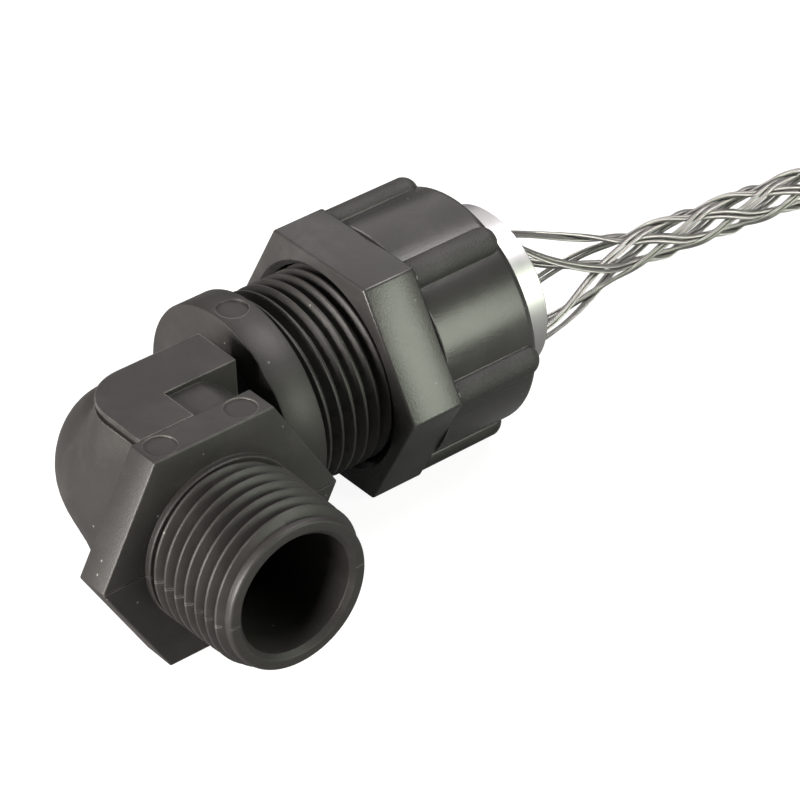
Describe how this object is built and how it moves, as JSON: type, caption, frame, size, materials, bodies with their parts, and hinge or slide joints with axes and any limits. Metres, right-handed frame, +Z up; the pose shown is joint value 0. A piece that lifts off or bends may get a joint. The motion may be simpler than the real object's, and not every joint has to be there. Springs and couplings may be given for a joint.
{
  "type": "right-angle cord grip",
  "caption": "Moulded elbow with a tapered male thread, a gland nut with a hexagon and ribbed barrel, and a woven wire strain-relief grip on a metal ring.",
  "frame": {"origin": "middle of the footprint on the surface that the grip lies on", "axes": "+X along the gland axis out through the nut and the wire mesh, -Y out of the tapered thread, +Z up"},
  "size_m": [0.1662, 0.051, 0.0307],
  "materials": {
    "glass_filled_nylon": "matte moulded, charcoal",
    "polished_nylon": "semi-gloss moulded, black",
    "grommet_rubber": "matte",
    "washer_nylon": "natural nylon",
    "ring_aluminium": "satin drawn",
    "rope_steel": "bright stranded wire rope"
  },
  "bodies": {
    "elbow": {"elbow_body": "glass_filled_nylon", "sealing_grommet": "grommet_rubber"},
    "grip": {"mesh_ring": "ring_aluminium", "slip_washer": "washer_nylon", "wire_mesh_grip": "rope_steel"},
    "nut": {"compression_nut": "polished_nylon"}
  },
  "joints": [
    {"name": "grip_travel", "type": "slide", "parent": "elbow", "child": "grip", "axis": [1, 0, 0], "range_m": [-0.002, 0.0063]},
    {"name": "nut_turn", "type": "hinge", "parent": "grip", "child": "nut", "pos_m": [-0.0267, 0.00839, 0.01535], "axis": [1, 0, 0], "range_deg": [-396, 1248]}
  ],
  "couplings": [
    {"joint": "grip_travel", "follows": "nut_turn", "m_per_rad": 0.00028871}
  ]
}
